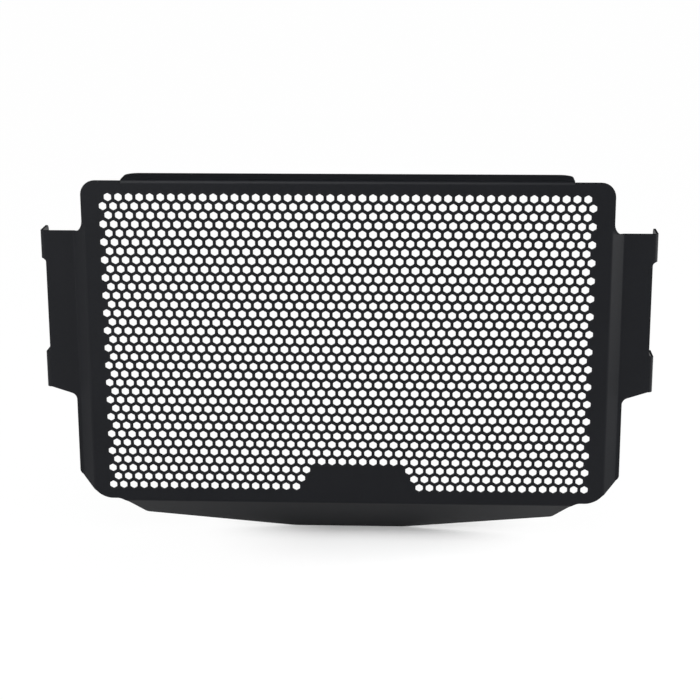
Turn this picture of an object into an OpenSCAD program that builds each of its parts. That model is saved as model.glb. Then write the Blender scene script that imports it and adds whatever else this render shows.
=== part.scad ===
// Motorcycle radiator guard: one aluminium sheet, perforated and folded.
// Millimetres. X runs to the right, Y to the rear and Z up. The origin is the middle of
// the panel's back face, so the front face lies at minus one sheet thickness.

/* [Sheet] */
// Thickness of the sheet
sheet_t = 1.5; // [1:0.1:2.5]
// Inner radius of every bend
bend_r = 1.5; // [1:0.1:2.5]

/* [Front panel] */
// Width of the panel between its side edges, above the wings
panel_w = 351; // [335:1:370]
// Height of the panel between its top and bottom edges
panel_h = 221; // [205:1:250]
// Radius of the two top corners
corner_r = 9.5; // [4:0.5:20]
// Width of the slanted cut at each bottom corner
cut_w = 17.3; // [10:0.1:22]
// Height of the slanted cut at each bottom corner
cut_h = 18.6; // [10:0.1:30]
// Radius at the outer end of the slanted cut
cut_outer_r = 4; // [1:0.5:8]
// Radius at the lower end of the slanted cut
cut_inner_r = 9; // [2:0.5:14]

/* [Hexagon holes] */
// Size of each hexagon hole across its flats
hole_af = 5.2; // [4:0.1:6.5]
// Width of the web left between two holes
hole_web = 1.8; // [1.2:0.1:3]
// Least plain rim between the holes and the panel's side edges
side_rim = 9; // [7:0.5:25]
// Least plain rim between the holes and the panel's top and bottom edges
end_rim = 7; // [5:0.5:20]
// How far the middle of the hole field lies below the middle of the panel
field_drop = 0.6; // [0:0.1:1.5]

/* [Plain plate among the holes] */
// Width of the plain plate at the lower end of the hole field
plate_w = 79; // [50:1:200]
// Height of the plate above the lower end of the hole field
plate_h = 19; // [14:0.5:60]
// How far the middle of the plate lies to the right of the middle of the panel
plate_shift = 7; // [-60:1:60]

/* [Side folds] */
// How far the first fold line lies inside the panel's side edge
fold_inset = 1.5; // [1:0.1:3]
// Angle of the slanting facet to the panel
fold_angle = 38; // [25:1:55]
// How far the wings lie behind the panel
wing_setback = 6.5; // [5:0.5:10]
// How far the folded side reaches past the panel's side edge, below the wing
edge_reach = 9.4; // [9:0.1:14]

/* [Wings and tabs] */
// How far the tabs' outer faces lie past the panel's side edges
wing_reach = 29.5; // [24.5:0.5:40]
// Height of the wing's top edge above the middle of the panel
wing_top = 75.6; // [50:0.1:85]
// Radius between the panel's side edge and the wing's top edge
wing_top_r = 4.8; // [2:0.1:8]
// Depth of the wing's lower outer corner below the middle of the panel
wing_low = 32.8; // [25:0.1:45]
// Slope of the wing's bottom edge, down towards the panel
wing_slope = 18; // [0:1:30]
// Radius between the wing's bottom edge and the folded side
wing_low_r = 4.5; // [2:0.5:8]
// Height of each upper tab
upper_tab_h = 19; // [14:0.5:30]
// Height of each lower tab
lower_tab_h = 24.6; // [14:0.1:30]
// Depth of the tabs from the wing's front face to their rear edge
tab_d = 22; // [18:0.5:30]
// Radius of the tabs' rear corners
tab_corner_r = 4; // [1:0.5:6]
// Radius where a tab's edge meets the wing's outer edge
tab_root_r = 4.5; // [1:0.5:6]
// Diameter of the bolt hole in each tab
bolt_d = 6.5; // [5:0.1:8.5]

/* [Top flange] */
// Width of the top flange
flange_w = 297.6; // [250:0.1:310]
// Depth of the top flange from the panel's front face
flange_d = 26; // [15:0.5:40]
// Radius of the flange's rear corners
flange_corner_r = 9; // [2:0.5:12]
// How far the flange's upper face stands above the panel's top edge
flange_rise = 0.8; // [0.2:0.1:1.5]

/* [Bottom lip] */
// Angle at which the lip leans back from the panel
lip_angle = 45; // [25:1:60]
// Width of the lip where it leaves the panel
lip_root_w = 308; // [290:1:314]
// Width of the lip at its two outer corners
lip_end_w = 281; // [240:1:286]
// Width of the level middle of the lip
lip_mid_w = 77; // [40:1:160]
// Drop of the lip's outer corners below the panel's bottom edge
lip_end_drop = 14.4; // [8:0.1:20]
// Drop of the lip's level middle below the panel's bottom edge
lip_mid_drop = 28.6; // [22:0.1:40]
// Radius of the lip's outer corners
lip_end_r = 4; // [1:0.5:8]
// Radius at the ends of the level middle
lip_mid_r = 40; // [5:1:80]

/* [Hidden] */
$fn = 64;

sheet_colour = "#1d1f22";
arc_steps = 8;
// Length by which a cutting shape passes a surface that it cuts, or by which flats overlap
over = 1;
// Width of the slit where a bend ends beside a flat edge
bend_relief = 0.2;

outer_r = bend_r + sheet_t;
mid_r = bend_r + sheet_t / 2;
side_x = panel_w / 2;
top_z = panel_h / 2;

// The sheet really has four times as many holes. Here every hole and web is drawn larger by
// this number, in the same pattern and as open, so that the solid stays light. 1 draws them all
hole_step = 2;

// Hexagon field: rows a row pitch apart, every second one shifted by half a pitch
pitch = (hole_af + hole_web) * hole_step;
row_pitch = pitch * sqrt(3) / 2;
hole_r = hole_af * hole_step / sqrt(3);
cols = 1 + floor((panel_w - 2 * side_rim - hole_af * hole_step) / pitch);
rows = 1 + floor((panel_h - 2 * end_rim - 2 * hole_r - field_drop) / row_pitch);

// Side fold: where the first bend starts, the facet's flat length and the wing's start
fold_x = side_x - fold_inset - outer_r * tan(fold_angle / 2);
facet_l = (wing_setback - 2 * mid_r * (1 - cos(fold_angle))) / sin(fold_angle);
wing_x = fold_x + 2 * mid_r * sin(fold_angle) + facet_l * cos(fold_angle);
wing_y = wing_setback - sheet_t;
fold_top = wing_top + wing_top_r + over;
edge_x = side_x + edge_reach;

// Tabs: they fold back from the wing's outer edge, which lies a slit's width before their bends
span_w = panel_w + 2 * wing_reach;
tab_x = span_w / 2 - outer_r;
wing_end_x = tab_x - bend_relief;
tab_rear_y = wing_y + tab_d;
tab_bolt_y = (wing_y + outer_r + tab_rear_y) / 2;
upper_tab_z = wing_top - upper_tab_h;
lower_tab_z = -wing_low;
wing_low_z = -wing_low - (wing_end_x - edge_x) * tan(wing_slope);

flange_z = top_z + flange_rise;
lip_end_z = -top_z - lip_end_drop;
lip_mid_z = -top_z - lip_mid_drop;
lip_l = lip_mid_drop / cos(lip_angle) + over;

function unit(v) = v / norm(v);
function flat(p) = [p[0], p[1]];

// Points of one corner of an outline, rounded to the radius that its third value gives
function corner(a, b, c) =
    b[2] == 0 ? [flat(b)] :
    let (u = unit(flat(a) - flat(b)))
    let (v = unit(flat(c) - flat(b)))
    let (half = acos(u * v) / 2)
    let (centre = flat(b) + unit(u + v) * b[2] / sin(half))
    let (p = flat(b) + u * b[2] / tan(half) - centre)
    let (q = flat(b) + v * b[2] / tan(half) - centre)
    let (from = atan2(p[1], p[0]))
    let (turn = atan2(p[0] * q[1] - p[1] * q[0], p * q))
    [for (i = [0 : arc_steps]) let (w = from + turn * i / arc_steps) centre + b[2] * [cos(w), sin(w)]];

// An outline from corners [x, y, radius]
function rounded(pts) =
    let (n = len(pts))
    [for (i = [0 : n - 1]) each corner(pts[(i + n - 1) % n], pts[i], pts[(i + 1) % n])];

// The corners given for the right side, followed by their mirror images on the left
function both_sides(right) =
    let (n = len(right))
    concat(right, [for (i = [n - 1 : -1 : 0]) [-right[i][0], right[i][1], right[i][2]]]);

// The sheet seen from the front, without its top flange and lip
module front_outline() {
    polygon(rounded(both_sides([
        [side_x, top_z, corner_r],
        [side_x, wing_top, wing_top_r],
        [wing_end_x, wing_top, 0],
        [wing_end_x, -wing_low, 0],
        [edge_x, wing_low_z, wing_low_r],
        [edge_x, -top_z + cut_h, cut_outer_r],
        [edge_x - cut_w, -top_z, cut_inner_r]
    ])));
}

module lip_outline() {
    polygon(rounded(both_sides([
        [lip_root_w / 2, -top_z + 2 * over, 0],
        [lip_root_w / 2, -top_z, 0],
        [lip_end_w / 2, lip_end_z, lip_end_r],
        [lip_mid_w / 2, lip_mid_z, lip_mid_r]
    ])));
}

module flange_outline() {
    polygon(rounded(both_sides([
        [flange_w / 2, -sheet_t - over, 0],
        [flange_w / 2, flange_d - sheet_t, flange_corner_r]
    ])));
}

// A tab seen from the side. At its ends marked open, its edge runs out into the wing's edge
module tab_outline(low, high, open_low, open_high) {
    low_root = open_low ? tab_root_r : 0;
    high_root = open_high ? tab_root_r : 0;
    polygon(rounded([
        [wing_y - over, low - low_root, 0],
        [wing_y, low - low_root, 0],
        [wing_y + low_root / 3, low, low_root / 3],
        [tab_rear_y, low, tab_corner_r],
        [tab_rear_y, high, tab_corner_r],
        [wing_y + high_root / 3, high, high_root / 3],
        [wing_y, high + high_root, 0],
        [wing_y - over, high + high_root, 0]
    ]));
}

// Whether the middle of the hole at x in this row, counted from the lowest, is on the plate,
// whose ends lean inwards with the rows
function on_plate(row, x) =
    hole_r + row * row_pitch < plate_h && abs(x - plate_shift) < (plate_w - row * pitch) / 2;

module hole_row(row) {
    count = cols - row % 2;
    for (i = [0 : count - 1]) {
        x = (i - (count - 1) / 2) * pitch;
        if (!on_plate(row, x))
            translate([x, 0])
                rotate(30)
                    circle(r = hole_r, $fn = 6);
    }
}

module hole_field() {
    for (row = [0 : rows - 1])
        translate([0, (row - (rows - 1) / 2) * row_pitch - field_drop])
            hole_row(row);
}

// Stands an outline drawn in X and Y upright, its depth running to the rear
module upright(depth) {
    translate([0, depth, 0])
        rotate([90, 0, 0])
            linear_extrude(depth)
                children();
}

// Sheet h wide that runs along X with its front face on Y = 0: a flat stretch, then the rest
module flat_then(len, h) {
    cube([len, sheet_t, h]);
    translate([len, 0, 0])
        children();
}

// The same for a bend, to the rear if its angle is positive, then the rest
module bend_then(angle, h) {
    pivot = angle > 0 ? outer_r : -bend_r;
    start = angle > 0 ? -90 : 90 + angle;
    translate([0, pivot, 0])
        rotate([0, 0, start])
            rotate_extrude(angle = abs(angle))
                translate([bend_r, 0])
                    square([sheet_t, h]);
    translate([0, pivot, 0])
        rotate([0, 0, angle])
            translate([0, -pivot, 0])
                children();
}

// The flat panel with its holes, cut back to just before the bends
module panel() {
    translate([0, -sheet_t, 0])
        upright(sheet_t)
            difference() {
                front_outline();
                for (side = [0, 1])
                    mirror([side, 0])
                        translate([fold_x - over / 2, fold_top - 2 * panel_h])
                            square([span_w, 2 * panel_h]);
                translate([-flange_w / 2, flange_z - outer_r - over / 2])
                    square([flange_w, panel_h]);
                hole_field();
            }
}

// All that the right side's folds may fill: the folded side and wing, then the two tabs
module side_space() {
    translate([0, -sheet_t - over, 0])
        upright(tab_rear_y + sheet_t + 2 * over)
            intersection() {
                front_outline();
                translate([0, fold_top - bend_relief - 2 * panel_h])
                    square([span_w, 2 * panel_h]);
            }
    translate([wing_end_x, 0, 0])
        rotate([90, 0, 90])
            linear_extrude(outer_r + over) {
                tab_outline(upper_tab_z, wing_top, true, false);
                tab_outline(lower_tab_z, lower_tab_z + lower_tab_h, false, true);
            }
}

// Bend, facet, bend, wing, bend and tabs on the right side
module side_fold() {
    h = fold_top + top_z + 2 * over;
    intersection() {
        translate([fold_x - over, -sheet_t, -top_z - over])
            flat_then(over, h)
                bend_then(fold_angle, h)
                    flat_then(facet_l, h)
                        bend_then(-fold_angle, h)
                            flat_then(tab_x - wing_x, h)
                                bend_then(90, h)
                                    flat_then(tab_d - outer_r, h);
        side_space();
    }
}

module tab_bolt_hole(z) {
    translate([tab_x, tab_bolt_y, z])
        rotate([0, 90, 0])
            cylinder(d = bolt_d, h = outer_r + over);
}

module right_side() {
    difference() {
        side_fold();
        tab_bolt_hole(wing_top - upper_tab_h / 2);
        tab_bolt_hole(lower_tab_z + lower_tab_h / 2);
    }
}

module top_flange() {
    w = flange_w + 2 * over;
    intersection() {
        translate([w / 2, -sheet_t, flange_z - outer_r - over])
            rotate([0, -90, 0])
                flat_then(over, w)
                    bend_then(90, w)
                        flat_then(flange_d - outer_r, w);
        translate([0, 0, flange_z - outer_r - 2 * over])
            linear_extrude(outer_r + 3 * over)
                flange_outline();
    }
}

module bottom_lip() {
    w = lip_root_w + 2 * over;
    intersection() {
        translate([-w / 2, -sheet_t, -top_z + over])
            rotate([0, 90, 0])
                flat_then(over, w)
                    bend_then(lip_angle, w)
                        flat_then(lip_l, w);
        translate([0, -sheet_t - over, 0])
            upright(lip_l + outer_r)
                lip_outline();
    }
}

module guard_sheet() {
    color(sheet_colour)
        union() {
            panel();
            top_flange();
            bottom_lip();
            for (side = [0, 1])
                mirror([side, 0, 0])
                    right_side();
        }
}

guard_sheet();
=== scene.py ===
import math

import bmesh
import bpy
from mathutils import Matrix, Vector


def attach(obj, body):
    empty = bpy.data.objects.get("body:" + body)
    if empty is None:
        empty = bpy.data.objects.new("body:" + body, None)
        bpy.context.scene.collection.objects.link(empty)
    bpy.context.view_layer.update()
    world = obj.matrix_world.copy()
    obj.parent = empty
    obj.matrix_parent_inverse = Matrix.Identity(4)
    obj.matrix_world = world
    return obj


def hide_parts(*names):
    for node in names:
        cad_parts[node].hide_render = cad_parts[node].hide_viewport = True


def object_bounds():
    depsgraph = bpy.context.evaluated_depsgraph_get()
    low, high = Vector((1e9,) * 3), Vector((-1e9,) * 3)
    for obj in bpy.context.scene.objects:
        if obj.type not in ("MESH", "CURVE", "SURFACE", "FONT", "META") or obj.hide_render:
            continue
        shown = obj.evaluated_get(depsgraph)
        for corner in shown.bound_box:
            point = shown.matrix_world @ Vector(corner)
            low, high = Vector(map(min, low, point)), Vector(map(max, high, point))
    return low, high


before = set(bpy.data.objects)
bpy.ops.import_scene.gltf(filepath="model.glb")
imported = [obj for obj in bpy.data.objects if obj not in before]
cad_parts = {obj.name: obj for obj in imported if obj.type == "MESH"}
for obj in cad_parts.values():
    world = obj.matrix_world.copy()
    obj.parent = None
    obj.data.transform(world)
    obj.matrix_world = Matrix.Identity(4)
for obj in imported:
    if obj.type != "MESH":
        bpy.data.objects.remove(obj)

cadLow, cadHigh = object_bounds()
mm = 0.001
tiny = 0.001  # millimetres, within which two places on the sheet are the same
scene = bpy.context.scene


def say(stage):
    print("radiator guard:", stage)


def linear(hexColour):
    # sRGB hex to the linear values that Blender works in
    shares = [int(hexColour[i:i + 2], 16) / 255 for i in (1, 3, 5)]
    return [s / 12.92 if s <= 0.04045 else ((s + 0.055) / 1.055) ** 2.4 for s in shares] + [1]


def addNode(tree, kind, settings=None, links=None):
    # settings are the node's own options or its inputs, links lead outputs to its inputs
    node = tree.nodes.new(kind)
    for key, value in (settings or {}).items():
        if isinstance(key, str) and hasattr(node, key):
            setattr(node, key, value)
        else:
            node.inputs[key].default_value = value
    for key, output in (links or {}).items():
        tree.links.new(output, node.inputs[key])
    return node


# The sheet as it is cut and folded. Millimetres and degrees, heights from the panel's middle
guard = {
    "bendRadius": 1.5,  # inner radius of every bend
    "cutEdge": 0.16,  # the coat rounds every cut edge by about this much
    "stepAngle": 5.7,  # turn of each flat that a bend is made of
    "arcSteps": 7,
    "boltHoleSides": 32,
    "cutWithin": 1e-4,  # a cut keeps to the points that lie this near to it
    "mergeWithin": 0.005,
    "panelWidth": 351,
    "panelHeight": 221,
    "panelCorner": 9.5,
    "foldInset": 1.5,  # first side fold line, inside the panel's side edge
    "foldAngle": 38,
    "foldFade": 6.5,  # height above the wing in which the side fold runs out
    "fadeSteps": 6,
    "wingSetback": 6.5,
    "edgeReach": 9.4,  # folded side below the wing, past the panel's side edge
    "wingTop": 75.6,
    "wingTopCorner": 7.5,  # on the slanting facet, which narrows it as seen from the front
    "wingLow": 32.8,
    "wingSlope": 18,
    "wingLowCorner": 4.5,
    "upperTab": 19,
    "lowerTab": 24.6,
    "tabDepth": 22,  # from the wing's front face to the tabs' rear edge
    "tabCorner": 4,
    "tabRoot": 2.5,
    "tabSlit": 0.2,  # the wing's free edge ends this much before the tabs' bends
    "boltHole": 6.5,
    "cutWidth": 17.3,  # slanted cut at each bottom corner, as seen from the front
    "cutHeight": 16.8,
    "cutOuterCorner": 3.5,
    "cutInnerCorner": 14,
    "flangeWidth": 297.6,
    "flangeDepth": 26,  # from the panel's front face
    "flangeCorner": 9,
    "flangeSlit": 0.04,
    "lipAngle": 45,
    "lipRoot": 307,
    "lipRootCorner": 9,
    "lipWidth": 281,
    "lipMiddle": 77,
    "lipEndDrop": 14.4,
    "lipCorner": 4,
    "lipMiddleCorner": 40,
}


def flatSizes(g):
    # Works out where each bend starts and ends on the flat sheet, from the frame's own box
    s = dict(g)
    s["thickness"] = -cadLow.y / mm
    s["outer"] = s["bendRadius"] + s["thickness"]
    s["middle"] = s["bendRadius"] + s["thickness"] / 2
    fold, lean = math.radians(g["foldAngle"]), math.radians(g["lipAngle"])
    halfWidth = g["panelWidth"] / 2
    s["halfWidth"], s["halfHeight"] = halfWidth, g["panelHeight"] / 2
    s["foldBend"] = halfWidth - g["foldInset"] - s["outer"] * math.tan(fold / 2)
    s["facet"] = s["foldBend"] + s["middle"] * fold
    facetLength = (g["wingSetback"] - 2 * s["middle"] * (1 - math.cos(fold))) / math.sin(fold)
    s["wingBend"] = s["facet"] + facetLength
    s["wing"] = s["wingBend"] + s["middle"] * fold
    wingX = s["foldBend"] + 2 * s["middle"] * math.sin(fold) + facetLength * math.cos(fold)
    # The slanted cut is straight from the front, so on the flat sheet it turns at each bend
    cutSlope = g["cutHeight"] / g["cutWidth"]
    bendHalf = s["middle"] * math.sin(fold / 2)
    s["cutAtWing"] = (g["edgeReach"] + halfWidth - wingX + bendHalf) * cutSlope
    s["cutAtFold"] = (g["edgeReach"] + halfWidth - s["foldBend"] - bendHalf) * cutSlope
    s["freeEdge"] = s["wing"] + halfWidth + g["edgeReach"] - wingX
    s["tabBend"] = s["wing"] + cadHigh.x / mm - s["outer"] - wingX
    s["wingEdge"] = s["tabBend"] - g["tabSlit"]
    s["tab"] = s["tabBend"] + s["middle"] * math.pi / 2
    s["tabEnd"] = s["tab"] + g["tabDepth"] - s["outer"]
    s["flangeBend"] = cadHigh.z / mm - s["outer"]
    s["flange"] = s["flangeBend"] + s["middle"] * math.pi / 2
    s["flangeEnd"] = s["flange"] + g["flangeDepth"] - s["outer"]
    s["lipBend"] = -s["halfHeight"]
    s["lip"] = s["lipBend"] - s["middle"] * lean
    s["lipEnd"] = s["lip"] - (g["lipEndDrop"] - s["outer"] * math.sin(lean)) / math.cos(lean)
    lipDrop = -cadLow.z / mm - s["halfHeight"]
    s["lipLow"] = s["lip"] - (lipDrop - s["outer"] * math.sin(lean)) / math.cos(lean)
    return s


def addOutline(sheet, s):
    # Corners of the right half, from the flange's rear corner down: x, height and radius
    bm = bmesh.new()
    slope = math.tan(math.radians(s["wingSlope"]))
    wingFoot = -s["wingLow"] - (s["wingEdge"] - s["freeEdge"]) * slope
    upperTabLow = s["wingTop"] - s["upperTab"]
    lowerTabTop = s["lowerTab"] - s["wingLow"]
    flangeSide = s["flangeWidth"] / 2
    slitSide = flangeSide + s["flangeSlit"]
    cutTop = s["cutHeight"] - s["halfHeight"]
    corners = [
        (flangeSide, s["flangeEnd"], s["flangeCorner"]),
        (flangeSide, s["flangeBend"], 0),
        (slitSide, s["flangeBend"], 0),
        (slitSide, s["halfHeight"], 0),
        (s["halfWidth"], s["halfHeight"], s["panelCorner"]),
        (s["halfWidth"], s["wingTop"], s["wingTopCorner"]),
        (s["tabEnd"], s["wingTop"], s["tabCorner"]),
        (s["tabEnd"], upperTabLow, s["tabCorner"]),
        (s["wingEdge"], upperTabLow, s["tabRoot"]),
        (s["wingEdge"], lowerTabTop, s["tabRoot"]),
        (s["tabEnd"], lowerTabTop, s["tabCorner"]),
        (s["tabEnd"], -s["wingLow"], s["tabCorner"]),
        (s["wingEdge"], -s["wingLow"], 0),
        (s["freeEdge"], wingFoot, s["wingLowCorner"]),
        (s["freeEdge"], cutTop, s["cutOuterCorner"]),
        ((s["wingBend"] + s["wing"]) / 2, cutTop - s["cutAtWing"], 0),
        ((s["foldBend"] + s["facet"]) / 2, cutTop - s["cutAtFold"], 0),
        (s["halfWidth"] + s["edgeReach"] - s["cutWidth"], -s["halfHeight"], s["cutInnerCorner"]),
        (s["lipRoot"] / 2, -s["halfHeight"], s["lipRootCorner"]),
        (s["lipWidth"] / 2, s["lipEnd"], s["lipCorner"]),
        (s["lipMiddle"] / 2, s["lipLow"], s["lipMiddleCorner"]),
    ]
    points = [(0, corners[0][1], 0)] + corners + [(0, corners[-1][1], 0)]
    chain = [bm.verts.new((x, y, 0)) for x, y, radius in points]
    for a, b in zip(chain, chain[1:]):
        bm.edges.new((a, b))
    for i in range(1, len(points) - 1):
        if points[i][2]:
            before = (Vector(points[i - 1][:2]) - Vector(points[i][:2])).normalized()
            after = (Vector(points[i + 1][:2]) - Vector(points[i][:2])).normalized()
            reach = points[i][2] / math.tan(before.angle(after) / 2)
            bmesh.ops.bevel(bm, geom=[chain[i]], offset=reach, offset_type="OFFSET", affect="VERTICES",
                            segments=s["arcSteps"], profile=0.5, material=-1)
    for height in (s["wingTop"] - s["upperTab"] / 2, s["lowerTab"] / 2 - s["wingLow"]):
        place = Matrix.Translation(((s["tab"] + s["tabEnd"]) / 2, height, 0))
        bmesh.ops.create_circle(bm, segments=s["boltHoleSides"], radius=s["boltHole"] / 2, matrix=place)
    bmesh.ops.mirror(bm, geom=bm.verts[:] + bm.edges[:], axis="X", merge_dist=tiny)
    flat = bpy.data.meshes.new("outline")
    bm.to_mesh(flat)
    bm.free()
    sheet.from_mesh(flat)
    bpy.data.meshes.remove(flat)


def everything(bm):
    return bm.verts[:] + bm.edges[:] + bm.faces[:]


def repeat(bm, geom, step, count):
    bmesh.ops.spin(bm, geom=geom, cent=(0, 0, 0), axis=(0, 0, 1), dvec=step, angle=0, steps=count - 1,
                   use_duplicate=True)


holes = {
    "size": 5.2,  # across flats, as punched
    "web": 1.8,
    "coat": 0.12,  # the powder coat narrows each hole by this much all round
    "cornerCut": 0.32,  # the punch's corners are a little blunt
    "sides": 12,  # six flats and six blunt corners
    "columns": 47,
    "rows": 34,
    "drop": 0.6,  # middle of the field below the panel's middle
    "plateWidth": 79,  # plain plate in the lowest rows
    "plateRows": 3,
    "plateShift": 7,  # the plate's middle, right of the panel's middle
    "mergeWithin": 0.01,
}


def holeField(h):
    # Each cell is a hole's blunt hexagon with half of the webs round it. The holes stay
    # capped until the sheet is filled
    bm = bmesh.new()
    pitch = h["size"] + h["web"]
    rowPitch = pitch * math.sqrt(3) / 2
    openRadius = (h["size"] - 2 * h["coat"]) / math.sqrt(3)
    hexagon = bmesh.ops.create_circle(bm, segments=6, radius=openRadius, cap_ends=True)
    bmesh.ops.bevel(bm, geom=hexagon["verts"], offset=h["cornerCut"], offset_type="OFFSET",
                    affect="VERTICES", segments=1, profile=0.5, material=-1)
    bmesh.ops.create_circle(bm, segments=6, radius=pitch / math.sqrt(3))
    bmesh.ops.triangle_fill(bm, edges=bm.edges[:], use_beauty=True, normal=(0, 0, 1))
    cell = everything(bm)
    shifted = bmesh.ops.duplicate(bm, geom=cell)["geom"]
    low = -(h["rows"] - 1) / 2 * rowPitch - h["drop"]
    start = Vector((-(h["columns"] - 1) / 2 * pitch, low, 0))
    bmesh.ops.translate(bm, verts=[v for v in cell if isinstance(v, bmesh.types.BMVert)], vec=start)
    bmesh.ops.translate(bm, verts=[v for v in shifted if isinstance(v, bmesh.types.BMVert)],
                        vec=start + Vector((pitch / 2, rowPitch, 0)))
    repeat(bm, cell, (pitch, 0, 0), h["columns"])
    repeat(bm, shifted, (pitch, 0, 0), h["columns"] - 1)
    repeat(bm, everything(bm), (0, 2 * rowPitch, 0), h["rows"] // 2)
    plain = []
    for cap in [f for f in bm.faces if len(f.edges) == h["sides"]]:
        middle = cap.calc_center_median()
        row = round((middle.y - low) / rowPitch)
        if row < h["plateRows"] and abs(middle.x - h["plateShift"]) < (h["plateWidth"] - row * pitch) / 2:
            plain += [f for v in cap.verts for f in v.link_faces]
    bmesh.ops.delete(bm, geom=list(dict.fromkeys(plain)), context="FACES")
    bmesh.ops.remove_doubles(bm, verts=bm.verts[:], dist=h["mergeWithin"])
    return bm


def cutBends(bm, s):
    # Cuts the flat sheet along the lines at which each bend turns a little further, and the
    # sides across the stretch in which their folds run out
    def cut(where, normal, chosen=lambda part: True):
        geom = [part for part in everything(bm) if chosen(part)]
        bmesh.ops.bisect_plane(bm, geom=geom, plane_co=where, plane_no=normal, dist=s["cutWithin"])

    def besidePanel(part):
        # Past the first bend, so that no cut crosses the holes
        corners = [part] if isinstance(part, bmesh.types.BMVert) else part.verts
        return abs(sum(v.co.x for v in corners)) > (s["foldBend"] - tiny) * len(corners)

    def cutBetween(start, end, angle, along):
        steps = round(angle / s["stepAngle"])
        for i in range(steps + 1):
            at = abs(start) + abs(end - start) * i / steps
            cut(Vector(along) * at, along)

    for side in (1, -1):
        cutBetween(s["foldBend"], s["facet"], s["foldAngle"], (side, 0, 0))
        cutBetween(s["wingBend"], s["wing"], s["foldAngle"], (side, 0, 0))
        cutBetween(s["tabBend"], s["tab"], 90, (side, 0, 0))
    cutBetween(s["flangeBend"], s["flange"], 90, (0, 1, 0))
    cutBetween(s["lipBend"], s["lip"], s["lipAngle"], (0, -1, 0))
    for i in range(s["fadeSteps"] + 1):
        height = s["wingTop"] + s["foldFade"] * i / s["fadeSteps"]
        cut((0, height, 0), (0, 1, 0), besidePanel)


def thicken(bm, s):
    # Front face with its rounded edges, the same for the back, and a wall between them
    bmesh.ops.inset_region(bm, faces=bm.faces[:], thickness=s["cutEdge"], use_boundary=True,
                           use_even_offset=True)
    bmesh.ops.translate(bm, verts=bm.verts[:], vec=(0, 0, s["thickness"]))
    rim = [e for e in bm.edges if e.is_boundary]
    rimPoints = [v for v in bm.verts if v.is_boundary]
    bmesh.ops.translate(bm, verts=rimPoints, vec=(0, 0, -s["cutEdge"]))
    back = bmesh.ops.duplicate(bm, geom=everything(bm))["geom"]
    bmesh.ops.scale(bm, verts=[v for v in back if isinstance(v, bmesh.types.BMVert)], vec=(1, 1, -1),
                    space=Matrix.Translation((0, 0, -s["thickness"] / 2)))
    wall = bmesh.ops.extrude_edge_only(bm, edges=rim)["geom"]
    bmesh.ops.translate(bm, verts=[v for v in wall if isinstance(v, bmesh.types.BMVert)],
                        vec=(0, 0, 2 * s["cutEdge"] - s["thickness"]))
    bmesh.ops.remove_doubles(bm, verts=bm.verts[:], dist=s["mergeWithin"])
    bmesh.ops.recalc_face_normals(bm, faces=bm.faces[:])


def press(bm, s, start, end, angle, along, strength=lambda v: 1, part=lambda v: True):
    # Turns all that lies past a bend line, as a press brake does: to the rear, or to the
    # front if the angle is negative. along is the way across the bend, on the flat sheet
    along = Vector(along)
    turn = math.radians(abs(angle))
    toRear = angle > 0
    length = abs(end - start)
    pivot = -s["bendRadius"] if toRear else s["thickness"] + s["bendRadius"]
    for v in bm.verts:
        past = v.co.dot(along) - abs(start)
        if past <= 0 or not part(v):
            continue
        bent = turn * min(past / length, 1)
        beyond = max(past - length, 0)
        radius = (v.co.z - pivot) * (1 if toRear else -1)
        out = radius * math.sin(bent) + beyond * math.cos(bent)
        drop = radius * (1 - math.cos(bent)) + beyond * math.sin(bent)
        move = along * (out - past) + Vector((0, 0, -drop if toRear else drop))
        v.co += move * strength(v)


def fade(s):
    # Full below the wing's top edge, then less and less up to where the side stays flat
    def strength(v):
        rest = min(max((s["wingTop"] + s["foldFade"] - v.co.y) / s["foldFade"], 0), 1)
        return rest * rest * (3 - 2 * rest)
    return strength


def foldSheet(bm, s):
    # The outermost bends come first, so that the ones inside them still lie flat
    for side in (1, -1):
        across = (side, 0, 0)
        press(bm, s, s["tabBend"], s["tab"], 90, across, part=lambda v: v.co.y < s["wingTop"] + tiny)
        press(bm, s, s["wingBend"], s["wing"], -s["foldAngle"], across, fade(s))
        press(bm, s, s["foldBend"], s["facet"], s["foldAngle"], across, fade(s))
    inFlange = s["flangeWidth"] / 2 + s["flangeSlit"] / 2
    press(bm, s, s["flangeBend"], s["flange"], 90, (0, 1, 0), part=lambda v: abs(v.co.x) < inFlange)
    press(bm, s, s["lipBend"], s["lip"], s["lipAngle"], (0, -1, 0))


def sortByPlace(parts, place):
    # The walls are extruded in another order each run, and this puts them back in one order
    inOrder = sorted(parts, key=lambda part: place(part).to_tuple())
    number = {part: i for i, part in enumerate(inOrder)}
    parts.sort(key=number.get)


def makeGuard():
    s = flatSizes(guard)
    bm = holeField(holes)
    say("hexagon holes placed")
    addOutline(bm, s)
    bmesh.ops.triangle_fill(bm, edges=[e for e in bm.edges if len(e.link_faces) < 2], use_beauty=True,
                            use_dissolve=False, normal=(0, 0, 1))
    caps = [f for f in bm.faces if len(f.edges) == holes["sides"]]
    bmesh.ops.delete(bm, geom=caps, context="FACES_ONLY")
    cutBends(bm, s)
    say("flat sheet cut")
    thicken(bm, s)
    foldSheet(bm, s)
    say("sheet folded")
    bmesh.ops.rotate(bm, verts=bm.verts[:], matrix=Matrix.Rotation(math.pi / 2, 3, "X"))
    bmesh.ops.scale(bm, verts=bm.verts[:], vec=(mm, mm, mm))
    sortByPlace(bm.verts, lambda v: v.co)
    sortByPlace(bm.edges, lambda e: e.verts[0].co + e.verts[1].co)
    sortByPlace(bm.faces, lambda f: f.calc_center_median())
    mesh = bpy.data.meshes.new("radiator_guard")
    bm.to_mesh(mesh)
    bm.free()
    piece = bpy.data.objects.new("radiator_guard", mesh)
    scene.collection.objects.link(piece)
    mesh.materials.append(powderCoat())
    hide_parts("guard_sheet")
    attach(piece, "root")
    return piece


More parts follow.
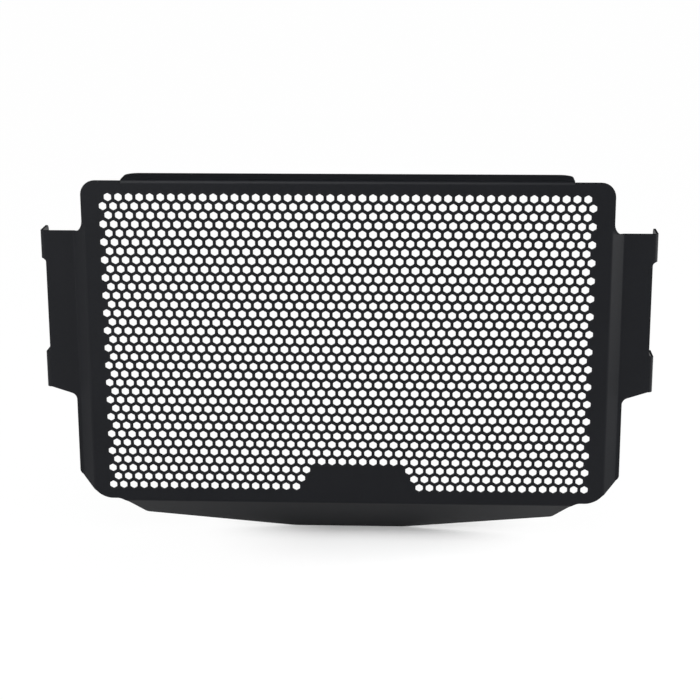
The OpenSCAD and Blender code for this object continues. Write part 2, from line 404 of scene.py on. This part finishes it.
def powderCoat():
    # Powder coated aluminium, sprayed dry and baked: a satin black skin with a soft, wide
    # sheen, a fine orange peel and rounded edges, under which no metal shows
    finish = {
        "dark": "#0e0f12",
        "light": "#131417",
        "cloud": 45,  # mm between slightly lighter and darker areas
        "peel": 1.1,  # mm between the bumps, coarser than the real 0.5 so that they show
        "peelHeight": 0.006,
        "peelStrength": 0.35,
        "smoothest": 0.38,  # roughness
        "roughest": 0.48,
        "mirror": 0.09,  # a satin coat mirrors much less than a gloss one
    }
    material = bpy.data.materials.new("satin_black_powder_coat")
    material.use_nodes = True
    tree = material.node_tree
    shader = tree.nodes["Principled BSDF"]
    place = addNode(tree, "ShaderNodeTexCoord").outputs["Object"]
    cloud = addNode(tree, "ShaderNodeTexNoise", {"Scale": 1 / (finish["cloud"] * mm), "Detail": 3},
                    {"Vector": place})
    colour = addNode(tree, "ShaderNodeMix",
                     {"data_type": "RGBA", 6: linear(finish["dark"]), 7: linear(finish["light"])},
                     {0: cloud.outputs[0]})
    sheen = addNode(tree, "ShaderNodeMapRange",
                    {"To Min": finish["smoothest"], "To Max": finish["roughest"]},
                    {"Value": cloud.outputs[0]})
    peel = addNode(tree, "ShaderNodeTexNoise", {"Scale": 1 / (finish["peel"] * mm), "Detail": 2},
                   {"Vector": place})
    bump = addNode(tree, "ShaderNodeBump",
                   {"Strength": finish["peelStrength"], "Distance": finish["peelHeight"] * mm},
                   {"Height": peel.outputs[0]})
    shader.inputs["Specular IOR Level"].default_value = finish["mirror"]
    tree.links.new(colour.outputs[2], shader.inputs["Base Color"])
    tree.links.new(sheen.outputs[0], shader.inputs["Roughness"])
    tree.links.new(bump.outputs[0], shader.inputs["Normal"])
    return material


floorLook = {
    "colour": "#f4f4f4",
    "roughness": 0.9,
    "size": 12,  # metres
    "shadowPlace": (0.02, 0, 0),  # middle of the patch that shows the shadow
    "shadowReach": 0.125,  # the patch's radius
    "paintedGlowInPatch": 0.08,  # share of the floor that glows plain white for the camera: painted light, which hides the cast shadow where the share is high
    "paintedGlowAround": 0.95,
}


def makeFloor():
    bm = bmesh.new()
    bmesh.ops.create_grid(bm, x_segments=1, y_segments=1, size=floorLook["size"] / 2)
    bmesh.ops.translate(bm, verts=bm.verts[:], vec=(0, 0, cadLow.z))
    mesh = bpy.data.meshes.new("floor")
    bm.to_mesh(mesh)
    bm.free()
    floor = bpy.data.objects.new("floor", mesh)
    scene.collection.objects.link(floor)
    mesh.materials.append(paperAndPaintedGlow())


def paperAndPaintedGlow():
    # Matt white paper, rolled smooth: it has no gloss, so it shows the soft shadow and no reflection. For
    # the camera it also glows plain white as painted light. The glow is faint in a patch under the guard,
    # where the cast shadow shows, and nearly full around it, where it hides the shadow
    material = bpy.data.materials.new("matt_white_paper_and_painted_glow")
    material.use_nodes = True
    tree = material.node_tree
    paper = tree.nodes["Principled BSDF"]
    paper.inputs["Base Color"].default_value = linear(floorLook["colour"])
    paper.inputs["Roughness"].default_value = floorLook["roughness"]
    paper.inputs["Specular IOR Level"].default_value = 0
    white = addNode(tree, "ShaderNodeEmission", {"Strength": 1})
    path = addNode(tree, "ShaderNodeLightPath")
    place = addNode(tree, "ShaderNodeTexCoord").outputs["Object"]
    flat = addNode(tree, "ShaderNodeVectorMath", {"operation": "MULTIPLY", 1: (1, 1, 0)}, {0: place})
    apart = addNode(tree, "ShaderNodeVectorMath",
                    {"operation": "DISTANCE", 1: floorLook["shadowPlace"]}, {0: flat.outputs[0]})
    # Painted glow: the white that the camera sees grows from the patch's middle outwards and paints out
    # the cast shadow beyond the patch
    plain = addNode(tree, "ShaderNodeMapRange", {
        "interpolation_type": "SMOOTHSTEP", "From Min": floorLook["shadowReach"] / 4,
        "From Max": floorLook["shadowReach"], "To Min": floorLook["paintedGlowInPatch"],
        "To Max": floorLook["paintedGlowAround"]}, {"Value": apart.outputs["Value"]})
    share = addNode(tree, "ShaderNodeMath", {"operation": "MULTIPLY"},
                    {0: path.outputs["Is Camera Ray"], 1: plain.outputs[0]})
    mixed = addNode(tree, "ShaderNodeMixShader", links={0: share.outputs[0], 1: paper.outputs[0],
                                                        2: white.outputs[0]})
    tree.links.new(mixed.outputs[0], tree.nodes["Material Output"].inputs["Surface"])
    return material


surroundings = {
    "ambient": 0.66,  # light from all round, which no surface mirrors
    "backdropTop": 0.04,  # sine of the height at which the mirrored white backdrop ends
    "ceiling": 0.02,  # what the coat mirrors above it
    "softbox": 9,  # before, above and left of the guard, and mirrored in its top bend
    "softboxWay": (-0.5, -0.62, 0.6),
    "softboxEdge": (0.82, 0.94),  # cosines from its way at which it starts and is full
}


def makeWorld():
    # The camera sees plain white, the coat mirrors a low backdrop and a softbox, and the rest
    # of the light is even
    world = bpy.data.worlds.new("studio")
    world.use_nodes = True
    scene.world = world
    tree = world.node_tree
    path = addNode(tree, "ShaderNodeLightPath")
    way = addNode(tree, "ShaderNodeTexCoord").outputs["Generated"]
    height = addNode(tree, "ShaderNodeSeparateXYZ", links={0: way}).outputs["Z"]
    backdrop = addNode(tree, "ShaderNodeMapRange", {
        "From Max": surroundings["backdropTop"], "To Min": 1,
        "To Max": surroundings["ceiling"]}, {"Value": height})
    toSoftbox = Vector(surroundings["softboxWay"]).normalized()
    facing = addNode(tree, "ShaderNodeVectorMath", {"operation": "DOT_PRODUCT", 1: toSoftbox}, {0: way})
    edge = surroundings["softboxEdge"]
    softbox = addNode(tree, "ShaderNodeMapRange", {
        "From Min": edge[0], "From Max": edge[1],
        "To Max": surroundings["softbox"]}, {"Value": facing.outputs["Value"]})
    seen = addNode(tree, "ShaderNodeMath", {"operation": "ADD"},
                   {0: backdrop.outputs[0], 1: softbox.outputs[0]})
    mirrored = addNode(tree, "ShaderNodeMath", {"operation": "MAXIMUM"},
                       {0: path.outputs["Is Glossy Ray"], 1: path.outputs["Is Transmission Ray"]})
    light = addNode(tree, "ShaderNodeMix", {2: surroundings["ambient"]},
                    {0: mirrored.outputs[0], 3: seen.outputs[0]})
    strength = addNode(tree, "ShaderNodeMix", {3: 1},
                       {0: path.outputs["Is Camera Ray"], 2: light.outputs[0]})
    background = tree.nodes["Background"]
    background.inputs["Color"].default_value = (1, 1, 1, 1)
    tree.links.new(strength.outputs[0], background.inputs["Strength"])


lamps = {
    "sky": 1.2,
    "skyAngle": 40,  # degrees
    "skyTurn": (38, 8, -12),
    "side": (  # places in metres and watts
        ((1.0, -0.1, 0.25), 10.5),
        ((-1.0, -0.3, 0.25), 1.5),
        ((-0.55, -0.65, 0.2), 2.4),
    ),
    "sideSize": 0.8,
}


def makeLights():
    sun = bpy.data.lights.new("soft_sky", "SUN")
    sun.energy = lamps["sky"]
    sun.angle = math.radians(lamps["skyAngle"])
    sky = bpy.data.objects.new("soft_sky", sun)
    sky.rotation_euler = [math.radians(a) for a in lamps["skyTurn"]]
    scene.collection.objects.link(sky)
    for place, watts in lamps["side"]:
        soft = bpy.data.lights.new("side_softbox", "AREA")
        soft.energy = watts
        soft.size = lamps["sideSize"]
        box = bpy.data.objects.new("side_softbox", soft)
        box.location = place
        box.rotation_euler = (-box.location).to_track_quat("-Z", "Y").to_euler()
        scene.collection.objects.link(box)


def makeCamera():
    # The photograph's own view, worked out from the rows of hexagons
    view = {"place": (56.22, -1148.51, 310.94), "turn": (74.696, 0.185, 2.652), "lens": 91.5,
            "sensor": 36}
    camera = bpy.data.cameras.new("camera")
    camera.sensor_width = view["sensor"]
    camera.lens = view["lens"]
    holder = bpy.data.objects.new("camera", camera)
    holder.location = [c * mm for c in view["place"]]
    holder.rotation_euler = [math.radians(a) for a in view["turn"]]
    scene.collection.objects.link(holder)
    scene.camera = holder


makeCamera()
makeWorld()
makeLights()
makeFloor()
say("studio ready")
makeGuard()
say("finished")

scene.view_settings.view_transform = "Standard"
